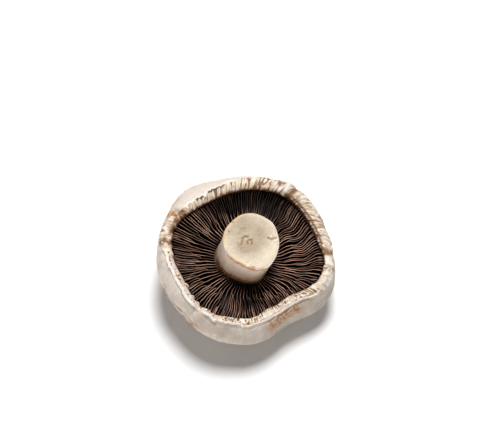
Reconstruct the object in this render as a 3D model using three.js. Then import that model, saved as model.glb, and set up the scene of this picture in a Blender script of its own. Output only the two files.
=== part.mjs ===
// A portobello mushroom lying on its crown with the gills up.
// Units are millimetres, +Z is up and the object rests on z = 0.
//
// Each piece is first shaped in the mushroom's own upright-gills frame: z = 0 at the crown's apex and
// +Z out through the stem. The whole mushroom is then leaned over until it rests on one side of the crown.
import * as THREE from 'three';

const degrees = THREE.MathUtils.degToRad;

// Cap: an elliptical crown below, a wall that leans inwards above it, and a rounded lip.
const CAP_RADIUS = 47.5;
const CROWN_DEPTH = 27;
const LIP_HEIGHT = 39.4;
const LIP_TOP_RADIUS = 41.5;
const MOUTH_RADIUS = 39.7;
const BED_AT_RIM = 31.3;
const BED_AT_CENTRE = 25.7;
const OFF_CENTRE = 0.05;

// Stem: cut off at a slant, standing a little to one side of the cap's middle and drifting back over it.
const STEM_RADIUS = 14.6;
const STEM_FOOT_RADIUS = 14;
const STEM_BASE = 27.1;
const STEM_CUT_HEIGHT = 54.3;
const STEM_CUT_SLANT = degrees(12);
const STEM_CUT_BEVEL = 0.7;
const STEM_FOOT_X = -2;
const STEM_FOOT_Y = 1;
const STEM_DRIFT = 1.6;

// Gills: a rosette of ridges between the stem and the lip.
const GILL_RIDGES = 84;
const GILL_EDGE_AT_RIM = 36.8;
const GILL_EDGE_AT_CENTRE = 31.3;
const GILL_DEPTH = 2.2;

// Veil remnant: a torn, wrinkled strip that lies over the lip.
const VEIL_THICKNESS = 1;
const VEIL_WRINKLES = 45;

// Clearance between pieces that touch in the real mushroom.
const GAP = 0.35;

// Rest: the lean of the stem, the compass direction it leans in, and how much of the crown is pressed flat.
const LEAN = degrees(10);
const LEAN_TOWARDS = degrees(-32);
const REST_DEPTH = 2.1;
const REST_EDGE_ROUNDING = 0.3;

// The outline is not round: each lobe is a swelling (or a dip, when negative) as a share of the radius.
const SKIN_LOBES = [
  { at: 54, halfWidth: 24, share: 0.06 },
  { at: 128, halfWidth: 18, share: 0.055 },
  { at: 221, halfWidth: 22, share: -0.034 },
  { at: 307, halfWidth: 19, share: -0.1 },
  { at: 342, halfWidth: 16, share: 0.055 },
];
const MOUTH_LOBES = [
  { at: 0, halfWidth: 12, share: 0.045 },
  { at: 62, halfWidth: 20, share: 0.05 },
  { at: 122, halfWidth: 30, share: -0.08 },
  { at: 162, halfWidth: 17, share: 0.05 },
  { at: 207, halfWidth: 17, share: -0.075 },
  { at: 266, halfWidth: 26, share: -0.09 },
  { at: 288, halfWidth: 10, share: -0.07 },
  { at: 311, halfWidth: 25, share: -0.23 },
  { at: 345, halfWidth: 12, share: 0.04 },
];
const STEM_LOBES = [
  { at: 245, halfWidth: 30, share: -0.1 },
  { at: 308, halfWidth: 26, share: 0.09 },
];

// How far round the lip the veil still reaches: 0 is the mouth, 1 the lip's top and 2 the widest girth.
const VEIL_REACH = 1.2;
const VEIL_REACH_LOBES = [
  { at: 40, halfWidth: 60, share: 0.3 },
  { at: 128, halfWidth: 22, share: -0.22 },
  { at: 168, halfWidth: 12, share: 0.4 },
  { at: 212, halfWidth: 26, share: 0.08 },
  { at: 285, halfWidth: 40, share: 0.05 },
  { at: 343, halfWidth: 12, share: 0.12 },
];

function sumOfLobes(lobes, angle) {
  let sum = 0;
  for (const { at, halfWidth, share } of lobes) {
    const away = THREE.MathUtils.euclideanModulo(THREE.MathUtils.radToDeg(angle) - at + 180, 360) - 180;
    sum += share * Math.exp(-((away / halfWidth) ** 2));
  }
  return sum;
}

// Radius of a point after the outline's lobes. `skin` is 1 on the outer skin, 0 inside the mouth.
function lobedRadius(radius, skin, angle) {
  const skinShare = sumOfLobes(SKIN_LOBES, angle) + OFF_CENTRE * Math.sin(angle);
  const mouthShare = sumOfLobes(MOUTH_LOBES, angle);
  const outer = skin * skinShare * (radius / CAP_RADIUS) ** 3;
  const inner = (1 - skin) * mouthShare * (radius / MOUTH_RADIUS) ** 3;
  return radius * (1 + outer + inner);
}

// Height of the flesh that the gills grow from.
function bedHeight(radius) {
  return BED_AT_CENTRE + (BED_AT_RIM - BED_AT_CENTRE) * (radius / MOUTH_RADIUS) ** 2;
}

// Height of the gills' free edges.
function gillEdgeHeight(radius) {
  return GILL_EDGE_AT_CENTRE + (GILL_EDGE_AT_RIM - GILL_EDGE_AT_CENTRE) * (radius / MOUTH_RADIUS) ** 2;
}

function stemOutline(angle) {
  return 1 + sumOfLobes(STEM_LOBES, angle);
}

// Distance from the cap's axis to a line `clear` of the stem's foot.
function stemReach(clear, angle) {
  const along = STEM_FOOT_X * Math.cos(angle) + STEM_FOOT_Y * Math.sin(angle);
  const aside = STEM_FOOT_X * Math.sin(angle) - STEM_FOOT_Y * Math.cos(angle);
  let reach = STEM_RADIUS;
  for (let pass = 0; pass < 3; pass++) {
    const bearing = Math.atan2(reach * Math.sin(angle) - STEM_FOOT_Y, reach * Math.cos(angle) - STEM_FOOT_X);
    reach = along + Math.sqrt((STEM_RADIUS * stemOutline(bearing) + clear) ** 2 - aside ** 2);
  }
  return reach;
}

// A point of the lip's section, `raised` above it. `along` runs from 0 at the mouth to 2 at the girth.
function lipPoint(along, raised) {
  const turn = degrees(90 * (along < 1 ? 1 - along : along - 1));
  const side = along < 1 ? -1 : 1;
  const width = along < 1 ? LIP_TOP_RADIUS - MOUTH_RADIUS : CAP_RADIUS - LIP_TOP_RADIUS;
  const height = along < 1 ? width : LIP_HEIGHT - CROWN_DEPTH;
  return {
    radius: LIP_TOP_RADIUS + side * (width + raised) * Math.sin(turn),
    z: LIP_HEIGHT - height + (height + raised) * Math.cos(turn),
    skin: Math.min(1, along / 2),
  };
}

// A solid ring or disc: `section(angle)` gives the same number of {radius, z, skin} points at every angle.
function turnedSolid(section, segments) {
  const outline = section(0).map((point) => new THREE.Vector2(point.radius, point.z));
  const geometry = new THREE.LatheGeometry(outline, segments);
  const position = geometry.attributes.position;
  for (let column = 0; column <= segments; column++) {
    const angle = (2 * Math.PI * (column % segments)) / segments;
    section(angle, column % segments).forEach((point, row) => {
      const radius = point.skin === undefined ? point.radius : lobedRadius(point.radius, point.skin, angle);
      position.setXYZ(
        column * outline.length + row,
        radius * Math.cos(angle) + (point.x ?? 0),
        radius * Math.sin(angle) + (point.y ?? 0),
        point.z,
      );
    });
  }
  return geometry;
}

function capSection() {
  const points = [];
  const crownSteps = 11;
  for (let step = 0; step < crownSteps; step++) {
    const turn = degrees((90 * step) / crownSteps);
    points.push({ radius: CAP_RADIUS * Math.sin(turn), z: CROWN_DEPTH * (1 - Math.cos(turn)), skin: 1 });
  }
  for (const along of [2, 1.75, 1.5, 1.25, 1, 0.7, 0.35, 0]) {
    points.push(lipPoint(along, 0));
  }
  points.push({ radius: MOUTH_RADIUS, z: (LIP_HEIGHT + BED_AT_RIM) / 2, skin: 0 });
  for (const radius of [MOUTH_RADIUS, 30, 20, 10, 0]) {
    points.push({ radius, z: bedHeight(radius), skin: 0 });
  }
  return points;
}

// `risen` runs from 0 at the stem's foot to 1 at its cut.
function stemSection(angle) {
  const slope = Math.tan(STEM_CUT_SLANT);
  const section = [
    [0, STEM_BASE - 0.8, 0],
    [STEM_FOOT_RADIUS, STEM_BASE, 0],
    [STEM_RADIUS, STEM_BASE + 5, 0.05],
    [STEM_RADIUS - 0.4, STEM_BASE + 14, 0.4],
    [STEM_RADIUS, STEM_CUT_HEIGHT - STEM_CUT_BEVEL, 1],
    [STEM_RADIUS - STEM_CUT_BEVEL, STEM_CUT_HEIGHT, 1],
    [STEM_RADIUS / 2, STEM_CUT_HEIGHT, 1],
    [0, STEM_CUT_HEIGHT, 1],
  ];
  return section.map(([nominal, z, risen]) => {
    const radius = nominal * stemOutline(angle);
    return {
      radius,
      x: STEM_FOOT_X + risen * STEM_DRIFT,
      y: STEM_FOOT_Y,
      z: z + risen * slope * radius * Math.sin(angle),
    };
  });
}

// Ridges and valleys take turns from one column to the next.
function gillSection(angle, column) {
  const valley = (column ?? 0) % 2;
  const inside = stemReach(GAP, angle);
  const outside = MOUTH_RADIUS - 2 * GAP;
  const radii = [0, 0.35, 0.7, 1].map((share) => THREE.MathUtils.lerp(inside, outside, share));
  const underside = radii.map((radius) => ({ radius, z: bedHeight(radius) + GAP, skin: 0 }));
  const top = radii.map((radius) => ({ radius, z: gillEdgeHeight(radius) - valley * GILL_DEPTH, skin: 0 }));
  return [...underside, ...top.reverse(), underside[0]];
}

function veilSection(angle) {
  const ragged = 0.05 * Math.sin(17 * angle + 1) + 0.04 * Math.sin(29 * angle);
  const reach = VEIL_REACH + sumOfLobes(VEIL_REACH_LOBES, angle) + ragged;
  const wrinkle = 1 + 0.22 * Math.sin(VEIL_WRINKLES * angle);
  const steps = [0.2, 0.4, 0.6, 0.8, 1];
  const inner = 0.2;
  const underside = [0, ...steps].map((share) => lipPoint(inner + share * (reach - inner), GAP));
  const outside = steps.map((share) => {
    const swelling = Math.sin(degrees(35 + 110 * share));
    return lipPoint(inner + share * (reach - inner), GAP + VEIL_THICKNESS * wrinkle * swelling);
  });
  return [...underside, ...outside.reverse(), underside[0]];
}

// Leans the mushroom, sets the flat of the crown on z = 0 and puts the middle of that flat at the origin.
function placement() {
  const spread = CAP_RADIUS * Math.sin(LEAN);
  const sink = CROWN_DEPTH * Math.cos(LEAN);
  const reach = Math.hypot(spread, sink);
  const radius = (CAP_RADIUS * spread) / reach;
  const lowest = new THREE.Vector3(
    radius * Math.cos(LEAN_TOWARDS),
    radius * Math.sin(LEAN_TOWARDS),
    CROWN_DEPTH - (CROWN_DEPTH * sink) / reach,
  );
  const hinge = new THREE.Vector3(-Math.sin(LEAN_TOWARDS), Math.cos(LEAN_TOWARDS), 0);
  const leaned = new THREE.Matrix4().makeRotationAxis(hinge, LEAN);
  lowest.applyMatrix4(leaned);
  return leaned.setPosition(-lowest.x, -lowest.y, -lowest.z - REST_DEPTH);
}

// Presses whatever is below the floor up to it, with a small rounding where the flat begins.
function pressFlat(geometry) {
  const position = geometry.attributes.position;
  for (let index = 0; index < position.count; index++) {
    const z = position.getZ(index);
    if (z < -REST_EDGE_ROUNDING) {
      position.setZ(index, 0);
    } else if (z < REST_EDGE_ROUNDING) {
      position.setZ(index, (z + REST_EDGE_ROUNDING) ** 2 / (4 * REST_EDGE_ROUNDING));
    }
  }
}

function addPiece(group, name, geometry, material) {
  geometry.applyMatrix4(placement());
  pressFlat(geometry);
  geometry.computeVertexNormals();
  const mesh = new THREE.Mesh(geometry, material);
  mesh.name = name;
  group.add(mesh);
}

const capSkin = new THREE.MeshStandardMaterial({ color: 0xe6dccb, roughness: 0.6, metalness: 0 });
const gillFlesh = new THREE.MeshStandardMaterial({ color: 0x2f1f1b, roughness: 0.75, metalness: 0 });
const stemFlesh = new THREE.MeshStandardMaterial({ color: 0xe3d3b4, roughness: 0.7, metalness: 0 });
const driedVeil = new THREE.MeshStandardMaterial({ color: 0xd8c6ab, roughness: 0.8, metalness: 0 });

const group = new THREE.Group();
group.name = 'portobello_mushroom';
addPiece(group, 'cap', turnedSolid(capSection, 72), capSkin);
addPiece(group, 'gills', turnedSolid(gillSection, 2 * GILL_RIDGES), gillFlesh);
addPiece(group, 'stem', turnedSolid(stemSection, 48), stemFlesh);
addPiece(group, 'veil_remnant', turnedSolid(veilSection, 180), driedVeil);

export default group;
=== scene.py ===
"""Looks for the portobello mushroom: it lies on its crown with its gills up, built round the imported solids.

Shapes are worked out in millimetres in the mushroom's own frame (z = 0 at the crown's apex, +Z out through
the stem, angles counted from +X) and then leaned over and set on the floor in the CAD's frame, in metres.
"""
import math

import bmesh
import bpy
import numpy as np
from mathutils import Matrix, Vector


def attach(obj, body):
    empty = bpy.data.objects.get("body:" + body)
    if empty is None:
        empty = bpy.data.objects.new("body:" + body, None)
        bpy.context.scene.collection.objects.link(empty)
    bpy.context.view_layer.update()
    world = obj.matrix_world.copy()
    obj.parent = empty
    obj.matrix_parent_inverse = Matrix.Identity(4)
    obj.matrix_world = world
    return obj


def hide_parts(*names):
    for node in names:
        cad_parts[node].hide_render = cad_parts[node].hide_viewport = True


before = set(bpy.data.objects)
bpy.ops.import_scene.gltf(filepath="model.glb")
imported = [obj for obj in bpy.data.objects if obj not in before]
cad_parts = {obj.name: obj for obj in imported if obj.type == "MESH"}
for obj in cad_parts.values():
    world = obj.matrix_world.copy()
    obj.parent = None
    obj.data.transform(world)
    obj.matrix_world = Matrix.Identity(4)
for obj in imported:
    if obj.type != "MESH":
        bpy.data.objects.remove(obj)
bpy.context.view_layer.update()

# ---------------------------------------------------------------- dimensions, in millimetres

CAP_RADIUS = 47.5
CROWN_DEPTH = 27.0
LIP_HEIGHT = 39.4
LIP_TOP_RADIUS = 41.5
MOUTH_RADIUS = 39.7
BED_AT_RIM = 31.3
BED_AT_CENTRE = 25.7
# The crown lies this share of the radius further towards +Y than the mouth.
OFF_CENTRE = 0.05

STEM_RADIUS = 14.6
# The stem's foot is level with the flesh between the gills, which hide it.
STEM_BASE = 26.5
STEM_CUT_HEIGHT = 54.3
STEM_CUT_SLANT = math.radians(12)
STEM_FOOT = (-2.0, 1.0)
STEM_DRIFT = 1.6

GILL_EDGE_AT_RIM = 36.8
GILL_EDGE_AT_CENTRE = 31.3
GILL_HALF_THICKNESS = 0.145
GILL_GAP_AT_STEM = 0.1
GILL_INTO_LIP = 0.2
LONG_GILLS = 78

# It leans on its crown, where a patch of REST_DEPTH is pressed flat.
LEAN = math.radians(10)
LEAN_TOWARDS = math.radians(-32)
REST_DEPTH = 2.1
REST_EDGE_ROUNDING = 0.3

# Swellings (and dips) of the outline: middle and half width in degrees, share of the radius.
SKIN_LOBES = [
    (54, 24, 0.06), (128, 18, 0.055), (221, 22, -0.034), (307, 19, -0.1), (342, 16, 0.055),
]
MOUTH_LOBES = [
    (0, 12, 0.045), (62, 20, 0.05), (122, 30, -0.08), (162, 17, 0.05), (207, 17, -0.075), (266, 26, -0.09),
    (288, 10, -0.07), (311, 25, -0.23), (345, 12, 0.04),
]
STEM_LOBES = [(308, 26, 0.09), (245, 30, -0.10)]

# How far the veil's outer edge comes: 1 is the lip's top and 2 the cap's girth.
VEIL_REACH = 1.2
VEIL_REACH_LOBES = [
    (40, 60, 0.3), (128, 22, -0.22), (168, 12, 0.4), (212, 26, 0.08), (285, 40, 0.05), (343, 12, 0.12),
]

# Camera: it looks down at the angle at which the gills face the viewer. The view is VIEW_WIDTH wide at the
# gills, and its middle lies a little to the right of the gills' middle and above it.
CAMERA_ELEVATION = math.radians(60)
LENS = 85.0
SENSOR = 36.0
VIEW_WIDTH = 263.025
AIM_RIGHT_OF_GILLS = 1.3125
AIM_ABOVE_GILLS = 22.8375
GILLS_HEIGHT = 39.3

# ---------------------------------------------------------------- studio, in metres and watts

# Place, width and power of each light.
KEY_LIGHT = ((0.05, 0.28, 0.97), 0.36, 11.6)
FILL_LIGHT = ((-0.60, -0.80, 0.26), 0.5, 3.8)
LIGHTS_AIM = Vector((0, 0, 0.02))
SKY_STRENGTH = 0.12
FLOOR_HALF_WIDTH = 3.0


# ---------------------------------------------------------------- shape functions

def angle_from(angle, middle):
    """Signed difference in degrees between an angle in radians and a middle in degrees."""
    return (np.degrees(angle) - middle + 180) % 360 - 180


def lobe_sum(lobes, angle):
    """Adds up (middle, half width, share) swellings at an angle."""
    total = np.zeros_like(angle)
    for middle, half_width, share in lobes:
        total = total + share * near_angle(angle, middle, half_width)
    return total


def between(angle, start, end, soft=6.0):
    """1 for angles from start to end (degrees, counterclockwise), fading to 0 over `soft` degrees."""
    middle = start + ((end - start) % 360) / 2
    half = ((end - start) % 360) / 2
    return smooth_step((half - np.abs(angle_from(angle, middle))) / soft + 0.5)


def smooth_step(value):
    """0 up to 0 and 1 from 1 on, with a smooth rise between them."""
    value = np.clip(value, 0, 1)
    return value * value * (3 - 2 * value)


def rising(value, start, length):
    """0 up to `start`, then rising to 1 over `length`."""
    return smooth_step((value - start) / length)


def falling(value, end, length):
    """0 from `end` on, after falling from 1 over `length`."""
    return smooth_step((end - value) / length)


def bell(distance, half_width):
    """1 at no distance, falling smoothly to 0 on both sides."""
    return np.exp(-(distance / half_width) ** 2)


def near_angle(angle, middle, half_width):
    """1 at a middle given in degrees, falling smoothly to 0 on both sides."""
    return bell(angle_from(angle, middle), half_width)


def lobed_radius(radius, skin, angle):
    """The lobed outline for a round radius: the skin's where `skin` is 1, and the mouth's where it is 0."""
    # The lobes fade out towards the axis.
    skin_share = lobe_sum(SKIN_LOBES, angle) + OFF_CENTRE * np.sin(angle)
    mouth_share = lobe_sum(MOUTH_LOBES, angle)
    outer = skin * skin_share * (radius / CAP_RADIUS) ** 3
    inner = (1 - skin) * mouth_share * (radius / MOUTH_RADIUS) ** 3
    return radius * (1 + outer + inner)


def bed_height(radius):
    """Height of the flesh between the gills."""
    return BED_AT_CENTRE + (BED_AT_RIM - BED_AT_CENTRE) * (radius / MOUTH_RADIUS) ** 2


def gill_edge_height(radius):
    """Height of the gills' free edges."""
    return GILL_EDGE_AT_CENTRE + (GILL_EDGE_AT_RIM - GILL_EDGE_AT_CENTRE) * (radius / MOUTH_RADIUS) ** 2


def stem_outline(angle):
    """The stem's radius about its own axis."""
    return STEM_RADIUS * (1 + lobe_sum(STEM_LOBES, angle))


def stem_reach(angle):
    """Distance from the cap's axis to the stem's foot, which stands off-centre."""
    along = STEM_FOOT[0] * np.cos(angle) + STEM_FOOT[1] * np.sin(angle)
    aside = STEM_FOOT[0] * np.sin(angle) - STEM_FOOT[1] * np.cos(angle)
    reach = STEM_RADIUS
    # The outline depends on the bearing from the stem's own axis, which depends on the reach in turn.
    for _ in range(3):
        bearing = np.arctan2(reach * np.sin(angle) - STEM_FOOT[1], reach * np.cos(angle) - STEM_FOOT[0])
        reach = along + np.sqrt(stem_outline(bearing) ** 2 - aside ** 2)
    return reach


def lip_point(along, raised, angle):
    """Own-frame points on the lip: `along` is 0 at the mouth, 1 on top and 2 at the widest girth."""
    inner = along < 1
    turn = np.radians(90) * np.where(inner, 1 - along, along - 1)
    width = np.where(inner, LIP_TOP_RADIUS - MOUTH_RADIUS, CAP_RADIUS - LIP_TOP_RADIUS)
    height = np.where(inner, width, LIP_HEIGHT - CROWN_DEPTH)
    radius = LIP_TOP_RADIUS + np.where(inner, -1, 1) * (width + raised) * np.sin(turn)
    z = LIP_HEIGHT - height + (height + raised) * np.cos(turn)
    radius = lobed_radius(radius, np.minimum(1, along / 2), angle)
    return polar_point(radius, angle, z)


def polar_point(radius, angle, z):
    """Own-frame points at a radius and an angle about the cap's axis."""
    return np.stack([radius * np.cos(angle), radius * np.sin(angle), z + 0 * radius], -1)


# ---------------------------------------------------------------- seeded noise

def lattice_value(cell, seed):
    """A repeatable random number from -1 to 1 for each cell, from large odd multipliers that mix its bits."""
    mixed = cell[..., 0] * 374761393 + cell[..., 1] * 668265263 + cell[..., 2] * 1440662683 + seed * 974634777
    mixed = mixed & 0xFFFFFFFF
    mixed = ((mixed ^ (mixed >> 13)) * 1274126177) & 0xFFFFFFFF
    mixed = (mixed ^ (mixed >> 16)) & 0xFFFFFF
    return mixed / 0x7FFFFF - 1.0


def value_noise(points, size, seed):
    """Smooth noise from -1 to 1 whose bumps are about `size` millimetres across."""
    scaled = points / size
    cell = np.floor(scaled).astype(np.int64)
    part = scaled - cell
    part = part * part * (3 - 2 * part)
    total = 0.0
    for corner in np.ndindex(2, 2, 2):
        weight = np.ones(points.shape[:-1])
        for axis in range(3):
            weight = weight * (part[..., axis] if corner[axis] else 1 - part[..., axis])
        total = total + weight * lattice_value(cell + np.array(corner), seed)
    return total


def fractal_noise(points, size, seed, octaves=3):
    """Smooth noise from -1 to 1 with ever smaller bumps added to the first ones."""
    total, strength, reach = 0.0, 1.0, 0.0
    for octave in range(octaves):
        total = total + strength * value_noise(points, size / 2 ** octave, seed + 31 * octave)
        reach += strength
        strength *= 0.5
    return total / reach


def ridged_noise(points, size, seed):
    """1 along thin winding lines, falling to 0 between them."""
    return 1 - np.abs(value_noise(points, size, seed)) * 2


def stacked(*parts):
    """Joins arrays along a new last axis, after stretching them to one shape."""
    return np.stack(np.broadcast_arrays(*parts), -1)


# ---------------------------------------------------------------- placing and meshing

def placement():
    """Leans the mushroom and sets its flattened patch of crown on z = 0, centred on the origin."""
    # The crown is half an ellipsoid, lobes apart, which gives the point that comes lowest when it leans.
    spread = CAP_RADIUS * math.sin(LEAN)
    sink = CROWN_DEPTH * math.cos(LEAN)
    reach = math.hypot(spread, sink)
    radius = CAP_RADIUS * spread / reach
    lowest = Vector((radius * math.cos(LEAN_TOWARDS), radius * math.sin(LEAN_TOWARDS),
                     CROWN_DEPTH - CROWN_DEPTH * sink / reach))
    hinge = Vector((-math.sin(LEAN_TOWARDS), math.cos(LEAN_TOWARDS), 0))
    leaned = Matrix.Rotation(LEAN, 4, hinge)
    return Matrix.Translation(-(leaned @ lowest) - Vector((0, 0, REST_DEPTH))) @ leaned


PLACEMENT = np.array(placement())


def to_world(points):
    """Own frame in millimetres to the CAD's frame in metres, pressed flat on the floor."""
    placed = points @ PLACEMENT[:3, :3].T + PLACEMENT[:3, 3]
    z = placed[..., 2]
    blend = (z + REST_EDGE_ROUNDING) ** 2 / (4 * REST_EDGE_ROUNDING)
    placed[..., 2] = np.where(z < -REST_EDGE_ROUNDING, 0, np.where(z < REST_EDGE_ROUNDING, blend, z))
    return placed / 1000


def grid_normals(grid):
    """Outward unit normals of a grid whose rows run from the apex to the lip and whose columns go round."""
    along = np.gradient(grid, axis=0)
    around = np.roll(grid, -1, axis=1) - np.roll(grid, 1, axis=1)
    normal = np.cross(around, along)
    return normal / np.maximum(np.linalg.norm(normal, axis=-1, keepdims=True), 1e-9)


def ring_faces(rows, columns, closed):
    """Quads between the rings of a grid; a closed grid also joins its last ring to its first."""
    row = np.arange(rows if closed else rows - 1)[:, None]
    column = np.arange(columns)[None, :]
    below = (row + 1) % rows
    beside = (column + 1) % columns
    return stacked(row * columns + column, row * columns + beside,
                   below * columns + beside, below * columns + column).reshape(-1, 4)


def build_mesh(name, points, faces, attributes):
    """A smooth-shaded mesh from own-frame points, with its normals turned outwards."""
    mesh = bpy.data.meshes.new(name)
    mesh.from_pydata(to_world(points).tolist(), [], [list(face) for face in faces])
    for key, values in attributes.items():
        layer = mesh.attributes.new(key, "FLOAT", "POINT")
        layer.data.foreach_set("value", np.asarray(values, dtype=np.float32).ravel())
    edit = bmesh.new()
    edit.from_mesh(mesh)
    bmesh.ops.recalc_face_normals(edit, faces=edit.faces)
    edit.to_mesh(mesh)
    edit.free()
    mesh.polygons.foreach_set("use_smooth", [True] * len(mesh.polygons))
    piece = bpy.data.objects.new(name, mesh)
    bpy.context.scene.collection.objects.link(piece)
    return piece


def ring_piece(name, grid, attributes, closed=False, poles=False):
    """A piece from a grid of rings. With poles, the first and last rings close on their own middles."""
    rows, columns = grid.shape[:2]
    points = grid.reshape(-1, 3)
    faces = ring_faces(rows, columns, closed).tolist()
    values = {key: np.broadcast_to(value, (rows, columns)).ravel() for key, value in attributes.items()}
    if poles:
        for row in (0, rows - 1):
            points = np.vstack([points, grid[row].mean(axis=0)])
            values = {key: np.append(value, value[row * columns:(row + 1) * columns].mean())
                      for key, value in values.items()}
            pole = len(points) - 1
            ring = row * columns
            faces += [[ring + i, ring + (i + 1) % columns, pole] for i in range(columns)]
    return build_mesh(name, points, faces, values)


def dress(piece, node, material):
    """Gives a piece its material, hangs it on the root body and hides the CAD node that it stands for."""
    piece.data.materials.append(material)
    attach(piece, "root")
    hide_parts(node)


# ---------------------------------------------------------------- materials

# How far light spreads inside the flesh, for red, green and blue, as shares of a length in metres.
SCATTER = (1.0, 0.6, 0.35)
SCATTER_LENGTH = 0.0015


class Shader:
    """A Principled material and short calls for adding nodes to it."""

    def __init__(self, name):
        self.material = bpy.data.materials.new(name)
        self.material.use_nodes = True
        self.tree = self.material.node_tree
        self.surface = self.tree.nodes["Principled BSDF"]
        here = self.add("ShaderNodeTexCoord").outputs["Object"]
        scaled = self.add("ShaderNodeVectorMath", {0: here, 3: 1000.0}, operation="SCALE")
        self.millimetres = scaled.outputs[0]

    def add(self, kind, inputs=None, **settings):
        """A node whose inputs are linked to the sockets or set to the values that are given."""
        node = self.tree.nodes.new(kind)
        for key, value in settings.items():
            setattr(node, key, value)
        for key, value in (inputs or {}).items():
            if isinstance(value, bpy.types.NodeSocket):
                self.tree.links.new(value, node.inputs[key])
            else:
                node.inputs[key].default_value = value
        return node

    def noise(self, size, detail=4.0, roughness=0.55, distortion=0.0):
        """Noise whose features are about `size` millimetres across."""
        return self.add("ShaderNodeTexNoise", {
            "Vector": self.millimetres, "Scale": 1.0 / size, "Detail": detail,
            "Roughness": roughness, "Distortion": distortion}).outputs["Fac"]

    def attribute(self, name):
        """A mask that the mesh carries."""
        return self.add("ShaderNodeAttribute", attribute_name=name).outputs["Fac"]

    def remap(self, value, low, high, to_low=0.0, to_high=1.0):
        """Turns low..high into to_low..to_high, and stays within them."""
        node = self.add("ShaderNodeMapRange", {"Value": value, "From Min": low, "From Max": high,
                                               "To Min": to_low, "To Max": to_high}, clamp=True)
        return node.outputs["Result"]

    def maths(self, operation, first, second):
        return self.add("ShaderNodeMath", {0: first, 1: second}, operation=operation).outputs[0]

    def scaled(self, value, share):
        return self.maths("MULTIPLY", value, share)

    def ragged(self, name, noise, fade):
        """A mask broken up by noise of (size, detail, roughness), which fades in from low to high."""
        return self.maths("MULTIPLY", self.attribute(name), self.remap(self.noise(*noise), *fade))

    def mix(self, share, first, second):
        """A colour mixed from two colours (tuples or sockets) by a share."""
        node = self.add("ShaderNodeMix", data_type="RGBA")
        for key, value in (("Factor", share), ("A", first), ("B", second)):
            socket = [s for s in node.inputs if s.name == key and s.enabled][0]
            if isinstance(value, bpy.types.NodeSocket):
                self.tree.links.new(value, socket)
            elif key == "Factor":
                socket.default_value = value
            else:
                socket.default_value = (*value, 1.0)
        return [s for s in node.outputs if s.name == "Result" and s.enabled][0]

    def bump(self, height, distance, normal=None):
        """A bump of `distance` millimetres, on top of another bump's normal if one is given."""
        inputs = {"Height": height, "Distance": distance / 1000}
        if normal:
            inputs["Normal"] = normal
        return self.add("ShaderNodeBump", inputs).outputs["Normal"]

    def finish(self, colour, roughness, normal, specular, subsurface=0.0):
        """Sets the surface up and gives back the material. Roughness is a socket or a number."""
        self.tree.links.new(colour, self.surface.inputs["Base Color"])
        if isinstance(roughness, bpy.types.NodeSocket):
            self.tree.links.new(roughness, self.surface.inputs["Roughness"])
        else:
            self.surface.inputs["Roughness"].default_value = roughness
        self.tree.links.new(normal, self.surface.inputs["Normal"])
        self.surface.inputs["Specular IOR Level"].default_value = specular
        self.surface.inputs["Subsurface Weight"].default_value = subsurface
        self.surface.inputs["Subsurface Radius"].default_value = SCATTER
        self.surface.inputs["Subsurface Scale"].default_value = SCATTER_LENGTH
        return self.material


def skin_material():
    shader = Shader("mushroom_skin")
    cream = (0.50, 0.385, 0.30)
    white = (0.775, 0.69, 0.605)
    dull = (0.46, 0.37, 0.31)
    tan = (0.46, 0.33, 0.23)
    flake_brown = (0.46, 0.23, 0.08)
    blush = (0.70, 0.43, 0.21)
    bruise = (0.46, 0.185, 0.045)
    soil = (0.16, 0.08, 0.045)
    painted_crease_shade = (0.22, 0.13, 0.075)
    inside = (0.40, 0.185, 0.08)
    gill_dark = (0.010, 0.006, 0.005)
    # Whiter skin from the pale mask: its own whiter patches, and painted light on the shaded near right.
    whiteness = shader.maths("ADD", shader.remap(shader.noise(9, 6, 0.6), 0.30, 0.70), shader.attribute("pale"))
    colour = shader.mix(whiteness, cream, white)
    grain = shader.remap(shader.attribute("grain"), -0.5, 0.7)
    colour = shader.mix(shader.scaled(grain, 0.55), colour, dull)
    blotch = shader.remap(shader.noise(1.8, 6, 0.7), 0.48, 0.70)
    colour = shader.mix(shader.scaled(blotch, 0.22), colour, tan)
    flake = shader.ragged("flake", (1.3, 4), (0.35, 0.6))
    colour = shader.mix(shader.scaled(flake, 0.85), colour, flake_brown)
    colour = shader.mix(shader.scaled(shader.attribute("stain"), 0.4), colour, blush)
    colour = shader.mix(shader.ragged("stain", (1.6, 5, 0.7), (0.45, 0.54)), colour, bruise)
    specks = shader.remap(shader.noise(0.8, 2, 0.5), 0.74, 0.80)
    colour = shader.mix(shader.scaled(specks, 0.55), colour, soil)
    # Painted shade: a dark line in the crease under the veil's edge and in the lip's pinches.
    colour = shader.mix(shader.ragged("crease", (1.1, 4), (0.3, 0.55)), colour, painted_crease_shade)
    colour = shader.mix(shader.attribute("inside"), colour, inside)
    # The flesh between the gills is near black: its own dark brown with painted shade between the plates.
    colour = shader.mix(shader.attribute("bed"), colour, gill_dark)
    rough = shader.remap(shader.noise(5, 4), 0.3, 0.7, 0.5, 0.7)
    normal = shader.bump(shader.noise(0.5, 3, 0.6), 0.09)
    normal = shader.bump(shader.noise(1.4, 6, 0.65, 0.6), 0.32, normal)
    return shader.finish(colour, rough, normal, specular=0.35, subsurface=0.12)


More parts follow.
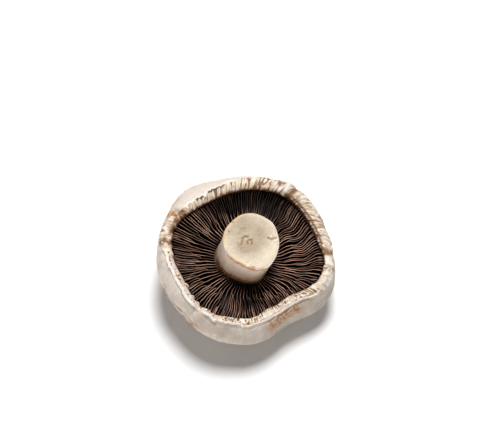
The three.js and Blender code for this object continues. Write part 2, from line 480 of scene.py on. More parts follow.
def veil_material():
    shader = Shader("dried_veil")
    cream = (0.70, 0.55, 0.40)
    pale = (0.84, 0.76, 0.67)
    white = (0.80, 0.75, 0.70)
    brown = (0.20, 0.085, 0.022)
    stained = (0.22, 0.085, 0.022)
    black = (0.035, 0.018, 0.01)
    colour = shader.mix(shader.remap(shader.noise(2.4, 5), 0.40, 0.60), cream, pale)
    colour = shader.mix(shader.attribute("sheet"), colour, white)
    # Painted shade: the valley mask darkens the grooves, pits and folds and the mouth's edge, over the veil's
    # own brown.
    valley = shader.remap(shader.attribute("valley"), 0.12, 0.85)
    colour = shader.mix(shader.scaled(valley, 0.9), colour, brown)
    colour = shader.mix(shader.ragged("stain", (1.4, 5, 0.7), (0.38, 0.54)), colour, stained)
    # The crack mask: dark cracks and the wedge, with painted shade in the hole and the deepest pits.
    colour = shader.mix(shader.attribute("crack"), colour, black)
    normal = shader.bump(shader.noise(0.45, 4, 0.6), 0.14)
    normal = shader.bump(shader.noise(1.3, 5, 0.6, 0.5), 0.24, normal)
    return shader.finish(colour, 0.62, normal, specular=0.3, subsurface=0.1)


def gill_material():
    shader = Shader("gill_plates")
    # The plates' sides and roots are near black: their own dark brown with painted shade between the plates,
    # darkest at the roots.
    root = (0.007, 0.0035, 0.0025)
    side = (0.011, 0.005, 0.004)
    edge = (0.95, 0.45, 0.30)
    paler_lit_edge = (1.0, 0.68, 0.52)
    height = shader.attribute("height")
    colour = shader.mix(shader.remap(height, 0.25, 0.8), root, side)
    # The plates' top edges get a painted highlight: bright orange over their own edge colour, paler in
    # patches by noise.
    lit = shader.mix(shader.remap(shader.noise(2.2, 4), 0.38, 0.62), edge, paler_lit_edge)
    rim = shader.maths("MULTIPLY", shader.remap(height, 0.95, 0.99), shader.attribute("pale"))
    colour = shader.mix(rim, colour, lit)
    # Painted shade from the dark mask: the plates' ends, the far lip's shadow and the stem's shadow, with
    # darker patches at random.
    colour = shader.mix(shader.scaled(shader.attribute("dark"), 0.95), colour, root)
    normal = shader.bump(shader.noise(0.35, 3, 0.6), 0.05)
    return shader.finish(colour, 0.6, normal, specular=0.12)


def stem_material():
    shader = Shader("stem_flesh")
    pale = (0.78, 0.68, 0.535)
    warm = (0.43, 0.34, 0.245)
    fibre = (0.42, 0.30, 0.17)
    rind = (0.96, 0.81, 0.68)
    shade = (0.50, 0.35, 0.24)
    foot_brown = (0.50, 0.26, 0.11)
    rust = (0.52, 0.23, 0.06)
    honey = (0.66, 0.45, 0.20)
    dark_brown = (0.27, 0.105, 0.028)
    dent_brown = (0.36, 0.22, 0.11)
    crumb_white = (0.90, 0.88, 0.84)
    clouds = shader.remap(shader.noise(7, 4), 0.3, 0.7, -0.25, 0.25)
    flesh = shader.mix(shader.maths("ADD", shader.attribute("centre"), clouds), pale, warm)
    fleck = shader.remap(shader.noise(0.7, 4, 0.7), 0.46, 0.62)
    flesh = shader.mix(shader.scaled(fleck, 0.32), flesh, fibre)
    streak = shader.remap(shader.attribute("streak"), -0.4, 0.6)
    streak = shader.maths("MULTIPLY", streak, shader.remap(shader.noise(4, 4), 0.35, 0.65, 0.1, 0.6))
    side = shader.mix(streak, rind, shade)
    side = shader.mix(shader.attribute("foot"), side, foot_brown)
    colour = shader.mix(shader.attribute("cut"), side, flesh)
    colour = shader.mix(shader.attribute("honey"), colour, honey)
    colour = shader.mix(shader.ragged("rust", (1.2, 5, 0.7), (0.36, 0.52)), colour, rust)
    colour = shader.mix(shader.ragged("stain", (1.8, 5, 0.7), (0.30, 0.55)), colour, dark_brown)
    colour = shader.mix(shader.scaled(shader.attribute("dent"), 0.7), colour, dent_brown)
    colour = shader.mix(shader.attribute("crumb"), colour, crumb_white)
    normal = shader.bump(shader.noise(0.4, 3, 0.6), 0.07)
    normal = shader.bump(shader.noise(1.5, 5, 0.6), 0.16, normal)
    return shader.finish(colour, 0.62, normal, specular=0.3, subsurface=0.1)


# ---------------------------------------------------------------- cap

CAP_COLUMNS = 540
CROWN_ROWS = 110
WALL_ROWS = 44
LIP_ROWS = 8
MOUTH_ROWS = 8
BED_ROWS = 7

# The first and last rings are small, because poles close them: one in radians, the other in millimetres.
FIRST_TURN = 0.004
LAST_RADIUS = 0.5

# Rough millimetres of skin per unit of `station` at the girth.
STATION_LENGTH = 4.5


def cap_grid():
    """Rings from the crown's apex round the lip, down the mouth's wall and in along the gills' bed.

    `station` says where a ring lies: 4 at the apex, 2 at the girth, 1 on the lip's top, 0 at the mouth, just
    under 0 down the wall and -2 on the flesh.
    """
    angle = np.linspace(0, 2 * np.pi, CAP_COLUMNS, endpoint=False)[None, :]
    turn = np.linspace(FIRST_TURN, np.pi / 2, CROWN_ROWS, endpoint=False)[:, None]
    crown_radius = lobed_radius(CAP_RADIUS * np.sin(turn), 1.0, angle)
    crown = polar_point(crown_radius, angle, CROWN_DEPTH * (1 - np.cos(turn)))
    along = np.concatenate([np.linspace(2, 1, WALL_ROWS, endpoint=False), np.linspace(1, 0, LIP_ROWS)])
    lip = lip_point(along[:, None], 0.0, angle)
    mouth_edge = LIP_HEIGHT - (LIP_TOP_RADIUS - MOUTH_RADIUS)
    wall_z = np.linspace(mouth_edge, BED_AT_RIM, MOUTH_ROWS + 1)[1:, None]
    wall = polar_point(lobed_radius(MOUTH_RADIUS, 0.0, angle) + 0 * wall_z, angle, wall_z)
    bed_radius = np.linspace(MOUTH_RADIUS, LAST_RADIUS, BED_ROWS + 1)[1:, None]
    bed = polar_point(lobed_radius(bed_radius, 0.0, angle), angle, bed_height(bed_radius))
    station = np.concatenate([np.linspace(4, 2, CROWN_ROWS, endpoint=False), along,
                              np.linspace(-0.1, -0.9, MOUTH_ROWS), np.full(BED_ROWS, -2.0)])
    return np.concatenate([crown, lip, wall, bed]), angle, station[:, None]


def flaky_scales(points, size, seed):
    """Overlapping flakes: each slopes up towards its outer edge and steps down to the next one."""
    warped = points + 2.0 * stacked(*[fractal_noise(points, 7.0, seed + i) for i in range(3)])
    cell = np.floor(warped / size).astype(np.int64)
    direction = points / np.maximum(np.linalg.norm(points, axis=-1, keepdims=True), 1e-6)
    nearest = np.full(points.shape[:-1], np.inf)
    slope = np.zeros(points.shape[:-1])
    for offset in np.ndindex(3, 3, 3):
        neighbour = cell + np.array(offset) - 1
        jitter = stacked(*[lattice_value(neighbour, seed + 7 * i + 3) for i in range(3)]) * 0.45 + 0.5
        away = warped / size - neighbour - jitter
        distance = (away ** 2).sum(-1)
        closer = distance < nearest
        nearest = np.where(closer, distance, nearest)
        slope = np.where(closer, (away * direction).sum(-1), slope)
    return slope


# Pinches across the lip: middle and half width in degrees, depth in millimetres.
LIP_FOLDS = [
    (58, 1.2, 1.1), (147, 1.6, 1.2), (155, 1.8, 1.3), (165, 1.8, 1.0), (174.5, 1.8, 1.5), (181, 2.0, 1.0),
    (231, 2.0, 1.1), (338, 2.5, 0.5), (4, 1.4, 1.2),
]

# Whiter skin, the last entry being painted light where the near right lies in shade: start, end and fading
# width in degrees, the station where it ends, and how white it is.
WHITER_AND_LIT_SKIN = [
    (92, 152, 12, 2.0, 1.0), (330, 354, 12, 1.8, 1.0), (160, 225, 14, 2.4, 0.5), (270, 314, 14, 2.1, 0.6),
]


def lip_folds(grid, angle):
    """Depth of the winding pinches across the lip."""
    folds = np.zeros(grid.shape[:-1])
    for middle, half_width, depth in LIP_FOLDS:
        line = angle_from(angle, middle) + 4 * value_noise(grid, 9.0, int(middle))
        folds = folds + depth * bell(line, half_width)
    return folds


def skin_stain(grid, angle, station, crown):
    """Orange-brown bruises: a patch under the near lip, one at the left, and a few over the crown."""
    near = between(angle, 287, 317, 10) * bell(station - 1.52, 0.22)
    left = between(angle, 148, 172, 8) * bell(station - 1.3, 0.3)
    spread = smooth_step(value_noise(grid, 15.0, 19) * 2.2 - 0.7) * crown
    small = smooth_step(value_noise(grid, 8.0, 20) * 2.4 - 1.1) * rising(station, 1.2, 0.5)
    dots = near_angle(angle, 152, 2.2) * bell(station - 1.6, 0.25)
    return np.clip(1.5 * near + 0.5 * left + 0.55 * spread + 0.5 * small + 1.6 * dots, 0, 1)


def whiter_and_lit_skin(angle, station):
    """How white the skin is, with painted light on the shaded near right."""
    whiteness = 0.0
    for start, end, soft, last_station, white in WHITER_AND_LIT_SKIN:
        sector = white * between(angle, start, end, soft)
        whiteness = np.maximum(whiteness, sector * falling(station, last_station, 0.4))
    return whiteness


def lifted_skin(grid, angle, station):
    """How far the skin lifts in flakes: in patches over the crown, and where it peels at the near left."""
    patches = smooth_step(value_noise(grid, 17.0, 14) * 1.3 + 0.5)
    peeling = between(angle, 196, 236, 10) * rising(station, 1.75, 0.2)
    far_side = 0.35 * between(angle, 25, 190, 25)
    scaly = smooth_step((station - 1.9 + far_side) / 0.7) * patches
    return np.maximum(scaly * 0.5, peeling * 1.2)


def veil_crease(angle, station):
    """The crease that follows the veil's edge below the near side of the lip: a groove, also painted dark as
    the shadow under that edge.
    """
    circle = stacked(np.cos(angle), np.sin(angle), 0 * angle) * CAP_RADIUS
    line = 1.31 + 0.05 * value_noise(circle, 5.0, 17)
    deep = between(angle, 283, 328, 8)
    shallow = 0.3 * between(angle, 238, 290, 10)
    return bell(station - line, 0.028) * np.maximum(deep, shallow)


def cap_relief(grid, angle, station):
    """Height of the skin's own relief, in millimetres, and the masks its colours follow."""
    skin = rising(station, 0.2, 0.6) + 0 * angle
    crown = rising(station, 1.9, 0.8)
    lip = bell(station - 0.95, 0.5)
    crumpled_lip = between(angle, 146, 196, 10) * lip
    scales = flaky_scales(grid, 6.0, 15)
    lifted = lifted_skin(grid, angle, station)
    girth = stacked(np.cos(angle) * CAP_RADIUS, np.sin(angle) * CAP_RADIUS, station * STATION_LENGTH)
    grain = fractal_noise(girth, 1.6, 16, 3)
    crease = veil_crease(angle, station)
    folds = lip_folds(grid, angle)
    whiteness = whiter_and_lit_skin(angle, station)

    relief = 0.9 * fractal_noise(grid, 26.0, 11, 2) + 0.45 * fractal_noise(grid, 9.0, 12, 3)
    relief = relief + 0.10 * fractal_noise(grid, 2.2, 13, 2)
    relief = relief + lifted * scales + 0.11 * grain - 0.7 * crease - folds * lip
    relief = relief + crumpled_lip * 0.8 * fractal_noise(grid, 4.0, 18, 2)
    masks = {
        "grain": grain * (1 - 0.7 * np.clip(whiteness, 0, 1)),
        # Whiter skin, with painted light on the shaded near right.
        "pale": whiteness,
        "flake": np.clip(lifted * 2.2, 0, 1) * rising(scales, 0.18, 0.2),
        "stain": skin_stain(grid, angle, station, crown),
        # Painted shade in the crease under the veil's edge and in the lip's pinches.
        "crease": np.clip(crease * 0.8 + np.clip(folds, 0, 1) * lip * 0.6, 0, 1),
        "inside": falling(station, 0.35, 0.4) + 0 * angle,
        # The flesh between the gills, painted near black as shade between the plates.
        "bed": smooth_step((-0.35 - station) / 0.3) + 0 * angle,
    }
    return relief * skin, masks


def make_cap():
    grid, angle, station = cap_grid()
    relief, masks = cap_relief(grid, angle, station)
    skin_rows = CROWN_ROWS + WALL_ROWS + LIP_ROWS
    grid[:skin_rows] += grid_normals(grid[:skin_rows]) * relief[:skin_rows, :, None]
    dress(ring_piece("cap_skin", grid, masks, poles=True), "cap", skin_material())


# ---------------------------------------------------------------- veil

VEIL_COLUMNS = 1200
VEIL_ROWS = 38
VEIL_UNDER_ROWS = 4
VEIL_SUNK_IN_LIP = 0.5

# Millimetres of lip surface per unit of `along`, inside and outside the lip's top.
INNER_ARC = 2.8
OUTER_ARC = 9.4


def arc_from(along):
    """Millimetres of lip surface from the mouth to a place on the lip."""
    return np.where(along < 1, INNER_ARC * along, INNER_ARC + OUTER_ARC * (along - 1))


def along_from(arc):
    """The place on the lip that is that many millimetres from the mouth."""
    return np.where(arc < INNER_ARC, arc / INNER_ARC, 1 + (arc - INNER_ARC) / OUTER_ARC)


def sharp_grooves(points, size, seed):
    """1 along thin winding grooves, 0 between them."""
    return np.clip((ridged_noise(points, size, seed) - 0.55) / 0.35, 0, 1)


def wrinkled_roll(base, circle, angle, across, width):
    """The puffy roll over the far half of the lip: its height, its valleys painted brown and dark as shade,
    and its smooth white parts.
    """
    lump = near_angle(angle, 62.5, 2.4)
    saddle = near_angle(angle, 359, 4.0)
    tip = near_angle(angle, 355, 2.0) * bell(across - 0.72, 0.18)
    beyond_crack = between(angle, 98, 146, 8) * rising(across, 0.70, 0.06)
    plain = np.clip(0.85 * lump + 0.8 * saddle + beyond_crack, 0, 1)

    # The wrinkles slant, more so on the right.
    slant = 0.04 + 0.09 * between(angle, 345, 62, 20)
    ring = stacked(circle[..., 0], circle[..., 1], across * 3.0)
    slanted = angle + slant * across + 0.02 * value_noise(ring, 5.0, 44) + 0.01 * value_noise(ring, 1.6, 57)
    ribs = stacked(np.cos(slanted) * MOUTH_RADIUS, np.sin(slanted) * MOUTH_RADIUS, across * width * 0.2)
    grooves = np.maximum(sharp_grooves(ribs, 1.7, 46), 0.8 * sharp_grooves(ribs, 0.95, 52)) * (1 - plain)
    puffs = value_noise(ribs, 2.0, 45) * (1 - plain)
    folds = lip_folds(base, angle)
    crumpled = between(angle, 144, 180, 6) * fractal_noise(base, 2.6, 53, 3)
    wrinkles = 0.2 * puffs - 0.55 * grooves + 0.3 * value_noise(circle, 5.5, 51) - 0.6 * folds
    roll = np.sin(np.radians(34 + 124 * across))
    height = 0.35 + 0.85 * roll + wrinkles + 0.9 * lump * roll + 1.1 * crumpled - 0.7 * beyond_crack
    height = height + 0.9 * tip - 0.5 * saddle

    right = between(angle, 350, 60, 12)
    patchy = (0.5 + 0.8 * smooth_step(value_noise(ring, 3.0, 54) * 1.5 + 0.4)) * (1 - 0.45 * right)
    inner_line = between(angle, 6, 62, 8) * bell(across - 0.2, 0.045)
    shade = 0.16 * right * (1 - plain)
    # Painted shade in the grooves and folds and over the right of the roll, mixed with the veil's brown.
    valley = grooves * patchy + shade - 0.15 * puffs - 1.3 * crumpled + 0.9 * inner_line + 0.5 * folds
    return height, valley, np.clip(0.6 * lump + 0.8 * saddle + beyond_crack, 0, 1)


def lace_strip(circle, angle, across, width, flap, wide):
    """The torn near half: a strip of small pits beside the gills, and a raised white edge or a curled flap.

    Gives its height, its valleys (the veil's brown with painted shade in the pits), its white parts and its
    stained bumps.
    """
    strip = 1 - smooth_step((across - 0.60 - 0.26 * wide) / 0.12)
    pores = stacked(circle[..., 0], circle[..., 1], across * width)
    lumps = fractal_noise(pores, 2.6, 47, 3)
    long_pores = pores * np.array([1, 1, 0.45])
    pits = smooth_step((0.42 - ridged_noise(long_pores, 0.8, 48)) / 0.3) * (1 - 0.85 * wide)
    lines = 0.28 * wide * sharp_grooves(pores, 2.6, 56)
    bumps = flap * value_noise(pores, 3.0, 55)
    height = strip * (0.55 + 0.4 * lumps - 0.5 * pits + 1.3 * bumps)
    whole = 1 - near_angle(angle, 231, 3.0) - 0.8 * wide
    edge = bell(across - 0.84, 0.07) * whole
    curl = rising(across, 0.56, 0.14) * falling(across, 0.97, 0.05) * (0.7 + 0.3 * across)
    height = height + (1 - flap) * edge * (0.75 + 0.5 * lumps) + flap * curl * (1.9 + 1.3 * lumps)
    smooth_end = between(angle, 338, 357, 6) * rising(across, 0.5, 0.2)
    white = flap * curl + 0.45 * (1 - flap) * edge + smooth_end
    # Painted shade in the pits and grooves of the strip, mixed with the veil's brown.
    valley = strip * (1.2 * pits + lines + 0.12)
    return height, valley, white, strip * flap * smooth_step(0.6 - 1.6 * bumps)


def veil_cracks(circle, angle, across):
    """Thin dark cracks in dashes along the roll, and one along its outer edge at the right."""
    dashes = smooth_step(value_noise(circle, 1.7, 50) * 3 + 0.8)
    far = between(angle, 65, 80, 4) * bell(across - 0.64, 0.07)
    left_line = 0.70 + 0.05 * value_noise(circle, 1.8, 58)
    left = between(angle, 99, 149, 6) * bell(across - left_line, 0.10)
    right = 0.8 * between(angle, 12, 52, 8) * rising(across, 0.89, 0.04)
    return np.maximum(np.maximum(far, left) * dashes, right)


def veil_relief(base, circle, angle, across, width):
    """Height of the veil over the lip and its colour masks.

    `across` is 0 at the mouth and 1 at the outer edge.
    """
    # The far half of the lip is puffy. The near half is lacy, wide at the right and with a flap at the left.
    puffy = between(angle, 352, 179, 7)
    lacy = 1 - between(angle, 354, 182, 6)
    flap = between(angle, 185, 229, 5) + 0.9 * between(angle, 235, 247, 3) + 0.4 * between(angle, 248, 263, 4)
    wide = between(angle, 333, 353, 8)
    roll_height, roll_valley, plain = wrinkled_roll(base, circle, angle, across, width)
    lace_height, lace_valley, white, bumpy = lace_strip(circle, angle, across, width, flap, wide)
    crack = veil_cracks(circle, angle, across)
    # A hole near 174 degrees: a dent, painted dark as its shade.
    hole = near_angle(angle, 174, 1.5) * bell(across - 0.8, 0.1)

    height = np.maximum(puffy * roll_height + lacy * lace_height, 0.06)
    height = height * smooth_step((1.0 - across) / 0.04 + 0.1) * smooth_step(across / 0.05 + 0.4)
    height = height - 0.5 * crack * puffy - 1.2 * hole

    wedge = between(angle, 155, 168, 4) * bell(across, 0.3)
    brown_left = 0.8 * between(angle, 144, 180, 6) * bell(across - 0.1, 0.3) + wedge
    deepest_lace = lacy * (1 - flap) * np.clip(lace_valley - 0.7, 0, 1)
    return height, {
        # Valleys: the veil's brown with painted shade, and painted shade along the mouth's edge.
        "valley": np.clip(puffy * roll_valley + lacy * lace_valley + 0.7 * bell(across, 0.07), 0, 1),
        "sheet": np.clip(lacy * white + puffy * plain, 0, 1),
        # Near black for the cracks and the wedge, with painted shade in the hole and the deepest pits.
        "crack": np.clip(crack + 0.8 * hole + 0.5 * wedge + 0.2 * deepest_lace, 0, 1),
        "stain": np.clip(brown_left + 0.6 * puffy * bell(across, 0.13) + 0.9 * lacy * bumpy, 0, 1),
    }


def make_veil():
    angle = np.linspace(0, 2 * np.pi, VEIL_COLUMNS, endpoint=False)[None, :]
    circle = stacked(np.cos(angle), np.sin(angle), 0 * angle) * MOUTH_RADIUS
    ragged = 0.06 * value_noise(circle, 5.0, 40) + 0.04 * value_noise(circle, 1.8, 41)
    reach = VEIL_REACH + lobe_sum(VEIL_REACH_LOBES, angle) + ragged + 0.03 * value_noise(circle, 0.8, 42)
    start = arc_from(0.05 + 0.12 * value_noise(circle, 2.2, 43))
    width = arc_from(reach) - start
    across = np.linspace(0, 1, VEIL_ROWS)[:, None]
    base = lip_point(along_from(start + across * width), 0.0, angle)
    height, masks = veil_relief(base, circle, angle, across, width)
    outside = lip_point(along_from(start + across * width), height, angle)
    under = np.linspace(0.96, 0.04, VEIL_UNDER_ROWS)[:, None]
    underside = lip_point(along_from(start + under * width), -VEIL_SUNK_IN_LIP, angle)
    grid = np.concatenate([outside, underside])
    unmarked = 0 * underside[..., 0]
    masks = {key: np.concatenate([value + 0 * height, unmarked]) for key, value in masks.items()}
    dress(ring_piece("torn_veil", grid, masks, closed=True), "veil_remnant", veil_material())


# ---------------------------------------------------------------- gills

GILL_STATIONS = 46

# Corners of a plate's section: how far aside in half thicknesses, how far up from the bed as a share of the
# plate's height, and how much the corner flutters.
GILL_SECTION = [
    (-1.6, -0.06, 0.0), (-1.0, 0.5, 0.5), (-1.0, 0.96, 1.0), (0.0, 1.0, 1.0),
    (1.0, 0.96, 1.0), (1.0, 0.5, 0.5), (1.6, -0.06, 0.0),
]

# The plates bow sideways together, sector by sector: the sector's ends in degrees, the sideways move in
# millimetres, and where along the plate it starts and ends as shares of its length.
GILL_BENDS = [
    (0, 55, 1.4, 0.10, 0.42), (0, 55, -1.4, 0.44, 0.64), (345, 50, 3.6, 0.62, 0.96), (50, 85, 1.6, 0.4, 0.9),
    (300, 335, 1.8, 0.0, 0.5), (300, 335, -2.0, 0.45, 1.0), (90, 150, -1.0, 0.2, 0.7),
    (185, 230, -1.6, 0.1, 0.7), (205, 240, 1.4, 0.6, 1.0), (240, 285, 1.0, 0.2, 0.9),
]


def gill_sway(share, angle):
    """How far aside a plate has moved along its length, in millimetres."""
    sway = np.zeros_like(share)
    for start, end, sideways, first, last in GILL_BENDS:
        sway = sway + sideways * between(angle, start, end, 24) * rising(share, first, last - first)
    return sway


def painted_gill_shade_and_patches(share, angle, spot):
    """Painted shade along a plate: at both ends, as the far lip's shadow and as the stem's shadow, with
    darker patches at random.
    """
    far = between(angle, 50, 134, 26) * rising(share, 0.2, 0.45)
    near = between(angle, 246, 288, 24) * (1 - rising(share, 0.4, 0.4))
    ends = bell(share, 0.1) * 0.5 + rising(share, 0.9, 0.1) * 0.8
    patches = 0.4 * smooth_step(value_noise(spot, 9.0, 68) * 1.6 - 0.2)
    return np.clip(far + 0.7 * near + ends + patches, 0, 1)


def gill_plate(index, angle, start, lowered, pale):
    """Points and masks of one wavy plate: rings of corners, from its inner end to the lip."""
    share = np.linspace(start, 1, GILL_STATIONS)
    inside = stem_reach(angle) + GILL_GAP_AT_STEM
    radius = inside + share * (MOUTH_RADIUS + GILL_INTO_LIP - inside)
    spot = polar_point(radius, angle + 0 * radius, 0 * radius)
    own_spot = stacked(radius, 0 * radius + index * 9.7, 0 * radius)
    # Close to the stem the plates stand straight.
    free = smooth_step(share / 0.25)
    sway = gill_sway(share, angle)
    restless = 0.45 + 0.55 * between(angle, 185, 60, 30)
    sway = sway + (0.7 * value_noise(spot, 10.0, 60) + 0.25 * value_noise(spot, 4.5, 61)) * free * restless
    sway = sway + 0.10 * value_noise(own_spot, 3.0, 63) * free
    flutter = 0.25 * value_noise(spot, 5.5, 64) + 0.14 * value_noise(own_spot, 2.5, 65)
    rise = rising(share, start, 0.22) if start > 0 else 1.0
    fall = falling(share, 1.0, 0.03)
    bed = bed_height(radius)
    top = gill_edge_height(radius) - lowered + 0.3 * value_noise(own_spot, 5.0, 66)
    top = bed + (top - bed) * rise * (0.7 + 0.3 * fall)
    thick = GILL_HALF_THICKNESS + 0.025 * value_noise(own_spot, 6.0, 67)
    rings = []
    for side, level, loose in GILL_SECTION:
        lateral = sway + side * thick + flutter * loose * np.minimum(1, share * 4)
        turned = angle + lateral / radius
        reach = lobed_radius(radius, 0.0, turned)
        rings.append(polar_point(reach, turned, bed + level * (top - bed)))
    level = np.array([level for _, level, _ in GILL_SECTION])
    # Paleness differs at random from plate to plate; its rise towards the stem is a painted highlight.
    pale = pale * np.clip(0.95 - 0.35 * share + 0.8 * value_noise(own_spot, 5.0, 69), 0.3, 1)
    # The dark mask is painted shade, with darker patches at random.
    masks = {"height": level[None, :], "dark": painted_gill_shade_and_patches(share, angle, spot)[:, None], "pale": pale[:, None]}
    return np.stack(rings, 1), masks


def lay_out_plates():
    """The angle, inner end, lowering and paleness of every plate; shorter ones lie between the long ones."""
    random = np.random.default_rng(7)
    places = LONG_GILLS * 4
    plates = []
    for index in range(places):
        angle = 2 * np.pi * (index + 0.4 * random.uniform(-1, 1)) / places
        kind = index % 4
        skipped = random.uniform() < 0.55
        pale = random.uniform(0.5, 1.0)
        if kind == 0:
            plates.append((angle, 0.0, random.uniform(0, 0.5), pale))
        elif kind == 2:
            plates.append((angle, random.uniform(0.08, 0.5), random.uniform(0.0, 0.5), pale))
        elif not skipped:
            plates.append((angle, random.uniform(0.5, 0.85), random.uniform(0.4, 1.0), pale))
    return plates


def make_gills():
    points, faces = [], []
    masks = {"height": [], "dark": [], "pale": []}
    corners = len(GILL_SECTION)
    for index, plate in enumerate(lay_out_plates()):
        rings, plate_masks = gill_plate(index, *plate)
        first = index * GILL_STATIONS * corners
        last = first + (GILL_STATIONS - 1) * corners
        faces += (ring_faces(GILL_STATIONS, corners, False) + first).tolist()
        faces.append([first + i for i in range(corners)])
        faces.append([last + i for i in reversed(range(corners))])
        points.append(rings.reshape(-1, 3))
        for key, value in plate_masks.items():
            masks[key].append(np.broadcast_to(value, (GILL_STATIONS, corners)).ravel())
    masks = {key: np.concatenate(values) for key, values in masks.items()}
    dress(build_mesh("gill_plates", np.concatenate(points), faces, masks), "gills", gill_material())


# ---------------------------------------------------------------- stem

STEM_COLUMNS = 330
STEM_SIDE_ROWS = 84
STEM_CUT_ROWS = 50

# Marks in the cut face, as (x, y, x, y) segments in millimetres from its middle.
CUT_DENTS = [
    (-4.9, -2.1, -4.5, 0.8), (-4.5, 0.8, -3.5, 2.1), (-3.5, 2.1, -1.9, 2.0), (-1.2, 0.4, 0.3, 0.6),
    (0.3, 0.6, 0.4, -1.5), (-1.9, -0.4, -1.7, -1.6), (8.7, 2.2, 10.4, 1.5), (10.4, 1.5, 12.4, 2.3),
    (12.6, 2.2, 15.0, 3.6),
]
CUT_SCRATCHES = [
    (-4.4, 6.4, -5.6, 3.3), (-5.4, 6.0, -6.7, 2.8), (-3.3, 6.4, -3.9, 4.3), (-5.6, -2.6, -4.9, -4.8),
    (-6.6, -1.4, -6.2, -3.6),
]
CUT_CRUMBS = [(10.0, 3.0, 10.2, 2.9), (12.0, 1.2, 12.5, 0.9), (13.4, 3.1, 13.9, 2.7)]
RIM_CRUMBS = [(-1.3, -12.6, -0.9, -12.5)]
RIM_SPOTS = [(-10.0, 9.2, -9.8, 9.2), (-12.1, 4.4, -11.9, 4.2), (0.6, -13.1, 2.2, -13.2)]


def near_segments(x, y, segments, width):
    """1 on the segments, falling to 0 within about `width` of them."""
    closest = np.full_like(x, np.inf)
    for x0, y0, x1, y1 in segments:
        run_x, run_y = x1 - x0, y1 - y0
        share = np.clip(((x - x0) * run_x + (y - y0) * run_y) / (run_x ** 2 + run_y ** 2), 0, 1)
        closest = np.minimum(closest, np.hypot(x - x0 - share * run_x, y - y0 - share * run_y))
    return bell(closest, width)


def stem_side():
    """Rings up the stem's side, with how high each lies (0 to 1) and the streaks that run along it."""
    angle = np.linspace(0, 2 * np.pi, STEM_COLUMNS, endpoint=False)[None, :]
    level = np.linspace(0, 1, STEM_SIDE_ROWS)[:, None]
    circle = stacked(np.cos(angle), np.sin(angle), 0 * angle) * STEM_RADIUS
    outline = stem_outline(angle) + 0.25 * value_noise(circle, 5.0, 80)
    cut_z = STEM_CUT_HEIGHT + math.tan(STEM_CUT_SLANT) * outline * np.sin(angle)
    side_z = STEM_BASE + level * (cut_z - STEM_BASE)
    body = stacked(circle[..., 0] + 0 * level, circle[..., 1] + 0 * level, side_z)
    streak = fractal_noise(body * np.array([1, 1, 0.14]), 1.8, 81, 3)
    waist = 1 - 0.035 * np.sin(np.pi * level)
    radius = outline * waist + 0.4 * fractal_noise(body, 8.0, 82, 3) + 0.14 * streak
    radius = radius - 0.35 * rising(level, 0.97, 0.03)
    return polar_point(radius, angle, side_z), angle, level, streak


def cut_face(edge_x, edge_y):
    """Rings from the cut's edge to its middle, with the marks left in it."""
    share = np.linspace(0.985, 0.01, STEM_CUT_ROWS)[:, None]
    x, y = share * edge_x, share * edge_y
    spot = stacked(x, y, 0 * x)
    dent = near_segments(x, y, CUT_DENTS, 0.46)
    scratch = near_segments(x, y, CUT_SCRATCHES, 0.32)
    crumb = near_segments(x, y, CUT_CRUMBS + RIM_CRUMBS, 0.36)
    relief = 0.22 * fractal_noise(spot, 6.0, 84, 2) + 0.12 * fractal_noise(spot, 1.0, 85, 2)
    relief = relief - 0.85 * dent - 0.5 * scratch + 0.4 * crumb
    relief = relief - 0.35 * rising(share, 0.93, 0.06)
    z = STEM_CUT_HEIGHT + math.tan(STEM_CUT_SLANT) * y + relief
    masks = {
        "dent": np.clip(dent + 0.55 * scratch, 0, 1),
        "crumb": crumb,
        "spots": near_segments(x, y, RIM_SPOTS, 0.45),
        "centre": 0.9 - smooth_step((np.hypot(x + 2, y - 3) - 6) / 11) + 0 * x,
    }
    return stacked(x, y, z), share, masks


def make_stem():
    side, angle, level, streak = stem_side()
    face, share, marks = cut_face(side[-1:, :, 0], side[-1:, :, 1])
    grid = np.concatenate([side, face])
    height = np.clip((grid[..., 2] - STEM_BASE) / (STEM_CUT_HEIGHT - STEM_BASE), 0, 1)
    grid[..., 0] += STEM_FOOT[0] + STEM_DRIFT * height
    grid[..., 1] += STEM_FOOT[1]

    near_rim = between(angle, 208, 300, 18)
    far_rim = between(angle, 95, 190, 26)
    side_edge = rising(level, 0.93, 0.06)
    face_edge = rising(share, 0.94, 0.05)
    foot = falling(level, 0.38, 0.13)
    warm = falling(level, 0.9, 0.7) * (0.45 + 0.35 * between(angle, 262, 330, 24))
    on_side, on_face = 0 * streak, 0 * marks["dent"]
    masks = {
        "cut": (rising(level, 0.985, 0.015) + on_side, 1 + on_face),
        "rust": (near_rim * side_edge, near_rim * face_edge),
        "honey": (0.7 * far_rim * side_edge, 0.7 * far_rim * face_edge),
        "stain": (foot * (0.6 + 0.4 * between(angle, 190, 300, 20)), marks["spots"]),
        "foot": (warm + on_side, on_face),
        "streak": (streak, on_face),
        "centre": (on_side, marks["centre"]),
        "dent": (on_side, marks["dent"]),
        "crumb": (on_side, marks["crumb"]),
    }
    masks = {key: np.clip(np.concatenate(parts), -1, 1) for key, parts in masks.items()}
    dress(ring_piece("stem_fine", grid, masks, poles=True), "stem", stem_material())


# ---------------------------------------------------------------- floor, lights and camera

def floor_material():
    shader = Shader("studio_floor")
    colour = shader.mix(shader.noise(400, 2), (0.90, 0.90, 0.90), (0.92, 0.92, 0.92))
    normal = shader.bump(shader.noise(2.0, 2), 0.01)
    return shader.finish(colour, 0.8, normal, specular=0.1)


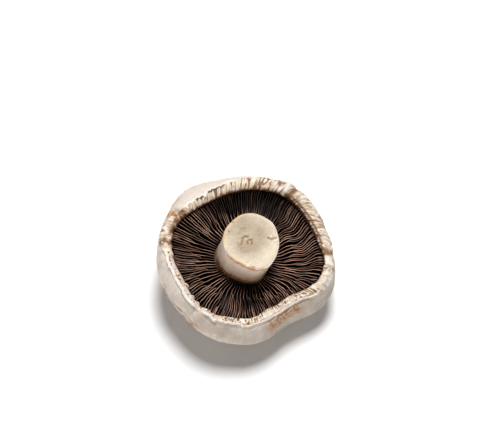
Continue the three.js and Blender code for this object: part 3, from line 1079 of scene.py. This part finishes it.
def make_floor():
    mesh = bpy.data.meshes.new("floor")
    half = FLOOR_HALF_WIDTH
    corners = [(-half, -half, 0), (half, -half, 0), (half, half, 0), (-half, half, 0)]
    mesh.from_pydata(corners, [], [(0, 1, 2, 3)])
    floor = bpy.data.objects.new("floor", mesh)
    bpy.context.scene.collection.objects.link(floor)
    mesh.materials.append(floor_material())


def add_area_light(name, location, size, power):
    light = bpy.data.lights.new(name, "AREA")
    light.shape = "DISK"
    light.size = size
    light.energy = power
    lamp = bpy.data.objects.new(name, light)
    lamp.location = location
    lamp.rotation_euler = (LIGHTS_AIM - Vector(location)).to_track_quat("-Z", "Y").to_euler()
    bpy.context.scene.collection.objects.link(lamp)


def make_lights():
    add_area_light("key", *KEY_LIGHT)
    add_area_light("fill", *FILL_LIGHT)
    world = bpy.data.worlds.new("studio")
    world.use_nodes = True
    background = world.node_tree.nodes["Background"]
    background.inputs["Color"].default_value = (1.0, 1.0, 1.0, 1.0)
    background.inputs["Strength"].default_value = SKY_STRENGTH
    bpy.context.scene.world = world


def make_camera():
    right = Vector((1, 0, 0))
    up = Vector((0, math.sin(CAMERA_ELEVATION), math.cos(CAMERA_ELEVATION)))
    back = Vector((0, -math.cos(CAMERA_ELEVATION), math.sin(CAMERA_ELEVATION)))
    gills = Vector(PLACEMENT[:3, :3] @ np.array([0, 0, GILLS_HEIGHT]) + PLACEMENT[:3, 3]) / 1000
    aim = gills + (right * AIM_RIGHT_OF_GILLS + up * AIM_ABOVE_GILLS) / 1000
    data = bpy.data.cameras.new("camera")
    data.lens = LENS
    data.sensor_width = SENSOR
    data.clip_start = 0.01
    camera = bpy.data.objects.new("camera", data)
    camera.location = aim + back * (VIEW_WIDTH / 1000 * LENS / SENSOR)
    camera.rotation_euler = (math.pi / 2 - CAMERA_ELEVATION, 0, 0)
    bpy.context.scene.collection.objects.link(camera)
    bpy.context.scene.camera = camera


make_camera()
make_lights()
make_floor()
make_cap()
make_veil()
make_gills()
make_stem()
bpy.context.scene.view_settings.view_transform = "Standard"
